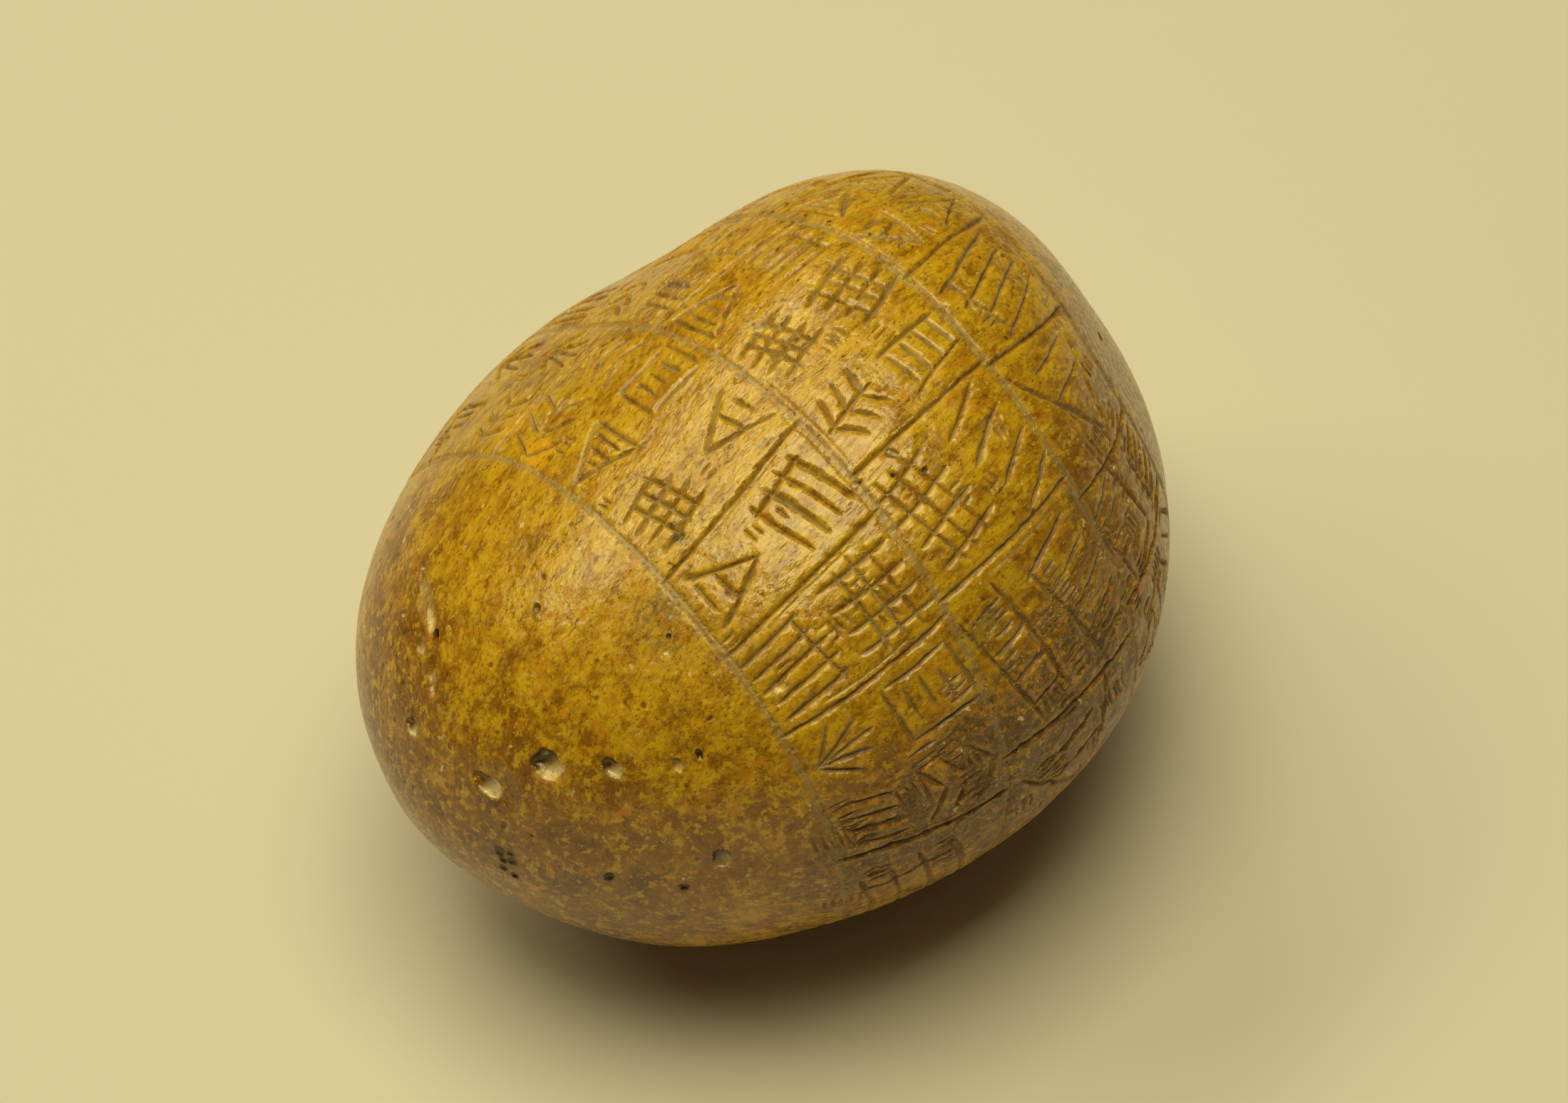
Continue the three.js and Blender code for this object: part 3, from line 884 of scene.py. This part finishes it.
def stainShare(points):
    rough = noiseOf(points, 1.6, 21) + 0.6 * noiseOf(points, 0.8, 22)
    stain = np.zeros(len(points))
    for reach, turn, radius, strength in wear["stains"]:
        distance = np.linalg.norm(points - surfacePoint(directionAt(reach, turn)), axis=1) / radius
        stain = np.maximum(stain, strength * clamp(1.6 - distance + 0.9 * rough))
    return stain


def patchShare(directions, name):
    share = np.zeros(len(directions))
    for reach, turn, breadth, strength in patches[name]:
        share += strength * nearness(directions, reach, turn, breadth)
    return clamp(share)


def placed(name, data):
    thing = bpy.data.objects.new(name, data)
    bpy.context.collection.objects.link(thing)
    return thing


def makeStone():
    cuts = [*ringCuts(), *lineCuts(), *signCuts(), *tickCuts(), *grazeCuts()]
    pits = allPits()
    print("stone:", len(cuts), "cuts and", len(pits), "pits")
    directions, triangles = joinPoints(skinPoints(cuts, pits))
    points = surfacePoint(directions)
    print("stone: skin of", len(triangles), "triangles")
    sunk, lip, dusty = carve(points, cuts)
    # The pits' pale walls are partly painted light, and their dark walls are partly painted shade.
    pitSunk, chalkAndLight, stainAndShade = sinkPits(points, pits)
    height = sum(tall * noiseOf(points, size, 30 + i)
                 for i, (size, tall) in enumerate(pebble["uneven"]))
    knockSize, knockDepth = carving["battered"]
    knocks = clamp(noiseOf(points, knockSize, 40) + 0.1) * patchShare(directions, "battered")
    height = height + lip - np.maximum(sunk, pitSunk) - knockDepth * knocks
    final = points + normalAt(directions) * height[:, None]
    final[:, 2] = np.maximum(final[:, 2], 0)
    middle, scale = seatOf(final)
    final = (final - middle) * np.minimum(scale, 1)
    print("stone: carved, deepest cut", round(float(sunk.max()), 2), "mm")
    mesh = bpy.data.meshes.new("inscribedStone")
    mesh.from_pydata((final * mm).tolist(), [], triangles.tolist())
    mesh.shade_smooth()
    mesh.set_sharp_from_angle(angle=math.radians(carving["creaseAngle"]))
    shares = {"cut": clamp(sunk / 0.45), "dust": dusty, "lip": clamp(lip / carving["lip"]),
              "chalkAndLight": chalkAndLight, "stainAndShade": np.maximum(stainAndShade, stainShare(points))}
    shares.update({name + "Patch": patchShare(directions, name) for name in patches})
    for name, values in shares.items():
        attribute = mesh.attributes.new(name, "FLOAT", "POINT")
        attribute.data.foreach_set("value", values.astype(np.float32))
    return placed("inscribedStone", mesh)


# The stone's colours, in the eye's own 0-255 steps, and how rough it is.
finish = {
    "yellow": (212, 168, 22),
    "ochre": (170, 122, 8),
    "amber": (196, 132, 10),
    "brown": (132, 84, 4),
    "umber": (92, 58, 10),
    "olive": (148, 120, 28),
    "dust": (160, 138, 88),
    "grey": (122, 98, 50),
    # Cut walls: dirt and painted shade in the grooves.
    "wallDirtAndShade": (98, 66, 14),
    # Pale chalk, also used as painted light on the lit wall of pits.
    "chalkAndLight": (232, 212, 154),
    "orange": (228, 168, 6),
    # Dark stains and specks, also used as painted shade on the shaded wall of pits.
    "black": (38, 30, 20),
    "roughness": 0.23,
    "cutRoughness": 0.6,
    "specular": 0.62,
    "ior": 1.55,
}

# The noise that the colour and the bump are made of.
clouds = {                   # scale, stretch along X, turn, detail, roughness, distortion
    "mottle": (210, 0.6, (0, 0, 0), 9, 0.74, 0.3),
    "blotch": (180, 0.7, (0.3, 0.2, 0.5), 10, 0.78, 0.4),
    "fine": (820, 1, (0, 0, 0), 6, 0.8, 0),
    "grain": (1800, 0.5, (0, 0, 0), 4, 0.75, 0),
    "streak": (1300, 0.13, (0, 0, 0), 5, 0.66, 0),
    "broad": (30, 1, (0, 0, 0), 3, 0.5, 0),
    "rubbed": (620, 0.5, (0, 0.2, 0.3), 5, 0.66, 0),
    "ambered": (360, 0.6, (0.4, 0.1, 0.7), 7, 0.72, 0),
    "glint": (760, 1, (0, 0, 0), 5, 0.7, 0),
    "fleck": (640, 1, (0, 0, 0), 3, 0.55, 0),
    "poreField": (90, 1, (0, 0, 0), 2, 0.55, 0),
    "dent": (420, 1, (0, 0, 0), 2, 0.5, 0),
    "brushed": (1150, 0.13, (0, 0, 0), 2, 0.5, 0),
    "brushField": (70, 1, (0, 0, 0), 2, 0.5, 0),
    "speckle": (1500, 1, (0, 0, 0), 2, 0.5, 0),
    "knock": (620, 1, (0, 0, 0), 4, 0.62, 0),
}

# The colours laid one over another on the ochre: the value that shows each one, where that value
# starts and stops bringing it in, how strong it gets, and the colour.
skinLayers = [
    ("mottle", 0.38, 0.6, 1.0, "yellow"),
    ("broad", 0.5, 0.7, 0.4, "olive"),
    ("streak", 0.46, 0.34, 0.55, "brown"),
    ("streak", 0.56, 0.68, 0.4, "yellow"),
    ("fine", 0.48, 0.34, 0.6, "brown"),
    ("browned", 0.54, 0.7, 0.85, "brown"),
    ("browned", 0.72, 0.82, 0.7, "umber"),
    ("rubbed", 0.54, 0.6, 0.7, "yellow"),
    ("rubbed", 0.45, 0.37, 0.7, "brown"),
    ("ambered", 0.54, 0.62, 0.7, "amber"),
    ("greyed", 0.6, 0.7, 0.75, "grey"),
    ("warmed", 0.66, 0.72, 0.85, "orange"),
    ("battered", 0.59, 0.66, 0.8, "umber"),
]
grainLayers = [
    ("grain", 0.43, 0.34, 0.85, "umber"),
    ("grain", 0.6, 0.68, 0.55, "chalkAndLight"),
    ("flecked", 0.69, 0.73, 0.7, "chalkAndLight"),
]

bumps = {
    "distance": 0.0005,      # metres
    "strength": 0.9,
    "dent": 0.36,
    "brushed": (0.12, 0.44),   # least and most over the stone
    "speckle": 0.1,
    "knock": 1.3,            # where the stone is battered
    "pore": -0.16,
    "poreScale": 330.0,
}


def linear(color):
    shares = [c / 255 for c in color]
    return tuple(((s + 0.055) / 1.055) ** 2.4 if s > 0.04045 else s / 12.92 for s in shares) + (1.0,)


class NodeDesk:
    def __init__(self, material):
        self.tree = material.node_tree
        self.nodes = self.tree.nodes

    def add(self, kind, inputs=None, **settings):
        node = self.nodes.new(kind)
        for name, value in settings.items():
            setattr(node, name, value)
        for name, value in (inputs or {}).items():
            if isinstance(value, bpy.types.NodeSocket):
                self.tree.links.new(value, node.inputs[name])
            else:
                node.inputs[name].default_value = value
        return node

    def share(self, name):
        return self.add("ShaderNodeAttribute", attribute_name=name).outputs["Fac"]

    def cloud(self, place, name):
        scale, stretch, turn, detail, roughness, distortion = clouds[name]
        if stretch != 1:
            inputs = {"Vector": place, "Scale": (stretch, 1, 1), "Rotation": turn}
            place = self.add("ShaderNodeMapping", inputs).outputs["Vector"]
        inputs = {"Vector": place, "Scale": scale, "Detail": detail,
                  "Roughness": roughness, "Distortion": distortion}
        return self.add("ShaderNodeTexNoise", inputs).outputs["Fac"]

    def ramp(self, value, low, high, start=0.0, end=1.0):
        inputs = {"Value": value, "From Min": low, "From Max": high, "To Min": start, "To Max": end}
        node = self.add("ShaderNodeMapRange", inputs, interpolation_type="SMOOTHSTEP")
        return node.outputs["Result"]

    def sum(self, first, second):
        return self.add("ShaderNodeMath", {0: first, 1: second}, operation="ADD").outputs[0]

    def times(self, first, second):
        return self.add("ShaderNodeMath", {0: first, 1: second}, operation="MULTIPLY").outputs[0]

    # A value pushed up where a patch lies.
    def pushed(self, value, patch, weight):
        return self.sum(value, self.times(self.share(patch + "Patch"), weight))

    # A colour laid over another by a share.
    def lay(self, color, share, name):
        inputs = {0: share, 6: color, 7: linear(finish[name])}
        node = self.add("ShaderNodeMix", inputs, data_type="RGBA", blend_type="MIX")
        return node.outputs[2]

    def layAll(self, color, values, layers):
        for value, low, high, most, name in layers:
            color = self.lay(color, self.ramp(values[value], low, high, 0.0, most), name)
        return color


def stoneMaterial():
    material = bpy.data.materials.new("wornOchreStone")
    material.use_nodes = True
    desk = NodeDesk(material)
    desk.nodes.clear()
    place = desk.add("ShaderNodeTexCoord").outputs["Object"]
    values = {name: desk.cloud(place, name) for name in clouds}
    mottle, fine, streak = values["mottle"], values["fine"], values["streak"]
    crumbly = desk.sum(desk.times(mottle, 0.5), desk.times(fine, 0.5))
    values["browned"] = desk.pushed(values["blotch"], "brown", 0.24)
    values["greyed"] = desk.pushed(crumbly, "grey", 0.24)
    values["warmed"] = desk.pushed(crumbly, "warm", 0.3)
    values["battered"] = desk.pushed(crumbly, "battered", 0.14)
    values["flecked"] = desk.pushed(values["fleck"], "grey", 0.03)

    color = desk.layAll(linear(finish["ochre"]), values, skinLayers)
    glints = desk.times(desk.ramp(values["glint"], 0.53, 0.6), desk.share("batteredPatch"))
    color = desk.lay(color, desk.times(glints, 0.75), "amber")
    color = desk.layAll(color, values, grainLayers)
    cells = desk.add("ShaderNodeTexVoronoi", {"Vector": place, "Scale": bumps["poreScale"]})
    pores = cells.outputs["Distance"]
    porous = desk.ramp(values["poreField"], 0.52, 0.6)
    pore = desk.times(desk.ramp(pores, 0.18, 0.1), porous)
    color = desk.lay(color, desk.times(pore, 0.75), "umber")

    # The cuts: walls darkened with depth, partly dirt and partly painted shade, drifts of dust on
    # their floors, and rubbed lips.
    cut = desk.share("cut")
    color = desk.lay(color, desk.ramp(cut, 0.02, 0.7, 0.0, 0.42), "wallDirtAndShade")
    drift = desk.times(desk.ramp(fine, 0.38, 0.54, 0.35, 1.0), desk.ramp(mottle, 0.4, 0.54, 0.6, 1.0))
    color = desk.lay(color, desk.times(desk.ramp(desk.share("dust"), 0.2, 0.85), drift), "dust")
    color = desk.lay(color, desk.times(desk.share("lip"), 0.3), "yellow")
    # Dark stains and specks, with painted shade on the shaded wall of pits.
    color = desk.lay(color, desk.times(desk.share("stainAndShade"), 0.92), "black")
    # Pale chalk in pits, partly painted light on the wall that faces the light.
    chalkAndLightShown = desk.times(desk.share("chalkAndLight"), desk.ramp(fine, 0.36, 0.52, 0.3, 1.0))
    color = desk.lay(color, chalkAndLightShown, "chalkAndLight")

    smooth, dull = finish["roughness"], finish["cutRoughness"]
    rough = desk.ramp(streak, 0.36, 0.62, smooth - 0.1, smooth + 0.12)
    rough = desk.sum(rough, desk.ramp(cut, 0.05, 0.5, 0.0, dull - smooth))
    rough = desk.sum(rough, desk.times(desk.share("greyPatch"), 0.12))

    brushedHere = desk.ramp(values["brushField"], 0.42, 0.6, *bumps["brushed"])
    brushed = desk.times(values["brushed"], brushedHere)
    height = desk.sum(desk.times(values["dent"], bumps["dent"]), brushed)
    height = desk.sum(height, desk.times(values["speckle"], bumps["speckle"]))
    knocked = desk.times(values["knock"], desk.share("batteredPatch"))
    height = desk.sum(height, desk.times(knocked, bumps["knock"]))
    sunken = desk.times(desk.ramp(pores, 0.24, 0.06), porous)
    height = desk.sum(height, desk.times(sunken, bumps["pore"]))
    bump = desk.add("ShaderNodeBump", {"Height": height, "Strength": bumps["strength"],
                                       "Distance": bumps["distance"]})

    shader = desk.add("ShaderNodeBsdfPrincipled", {
        "Base Color": color, "Roughness": rough, "Normal": bump.outputs["Normal"],
        "IOR": finish["ior"], "Specular IOR Level": finish["specular"]})
    output = desk.add("ShaderNodeOutputMaterial")
    desk.tree.links.new(shader.outputs[0], output.inputs["Surface"])
    return material


stone = makeStone()
stone.data.materials.append(stoneMaterial())
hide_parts("stone")
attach(stone, "root")
print("stone: finished and placed")


studio = {
    "floorSize": 3.0,        # metres, as all of this
    "aim": (0, 0, 0.045),    # what the lights point at
    "floorColor": (220, 214, 206),
    "keyPlace": (0.0, 0.72, 1.02),
    "keySize": (1.45, 0.3),
    "keyPower": 6.3,
    "topPlace": (-0.02, -0.1, 1.32),
    "topSize": (1.0, 0.85),
    "topPower": 13.3,
    "color": (1.0, 0.9, 0.49),
    "worldColor": (1.0, 0.93, 0.78),
    "worldStrength": 0.03,
}


def makeFloor():
    half = studio["floorSize"] / 2
    mesh = bpy.data.meshes.new("floor")
    corners = [(-half, -half, 0), (half, -half, 0), (half, half, 0), (-half, half, 0)]
    mesh.from_pydata(corners, [], [(0, 1, 2, 3)])
    material = bpy.data.materials.new("paleFloor")
    material.use_nodes = True
    desk = NodeDesk(material)
    shader = desk.nodes["Principled BSDF"]
    shader.inputs["Base Color"].default_value = linear(studio["floorColor"])
    shader.inputs["Roughness"].default_value = 0.95
    shader.inputs["Specular IOR Level"].default_value = 0.1
    mesh.materials.append(material)
    placed("floor", mesh)


def makeLight(name, place, size, power, color):
    lamp = bpy.data.lights.new(name, "AREA")
    lamp.shape = "RECTANGLE"
    lamp.size, lamp.size_y = size
    lamp.energy = power
    lamp.color = color
    light = placed(name, lamp)
    light.location = place
    aim = Vector(studio["aim"]) - Vector(place)
    light.rotation_euler = aim.to_track_quat("-Z", "Y").to_euler()


view = {
    "place": (-364.68, -370.28, 616.75),   # mm
    "right": (0.6316, -0.7694, -0.0953),
    "up": (0.6136, 0.4211, 0.6679),
    "lens": 117.8,
    "sensor": 36.0,
}


def makeCamera():
    data = bpy.data.cameras.new("camera")
    data.lens = view["lens"]
    data.sensor_width = view["sensor"]
    data.clip_end = 20
    camera = placed("camera", data)
    right, up = Vector(view["right"]).normalized(), Vector(view["up"]).normalized()
    back = right.cross(up)
    turned = Matrix((right, up, back)).transposed()
    camera.matrix_world = Matrix.Translation(Vector(view["place"]) * mm) @ turned.to_4x4()
    bpy.context.scene.camera = camera


makeFloor()
makeLight("keyStrip", studio["keyPlace"], studio["keySize"], studio["keyPower"], studio["color"])
makeLight("softTop", studio["topPlace"], studio["topSize"], studio["topPower"], studio["color"])
world = bpy.data.worlds.new("studio")
world.use_nodes = True
background = world.node_tree.nodes["Background"]
background.inputs["Color"].default_value = studio["worldColor"] + (1.0,)
background.inputs["Strength"].default_value = studio["worldStrength"]
bpy.context.scene.world = world
bpy.context.scene.view_settings.view_transform = "Standard"
makeCamera()
print("floor, lights and camera are in place")
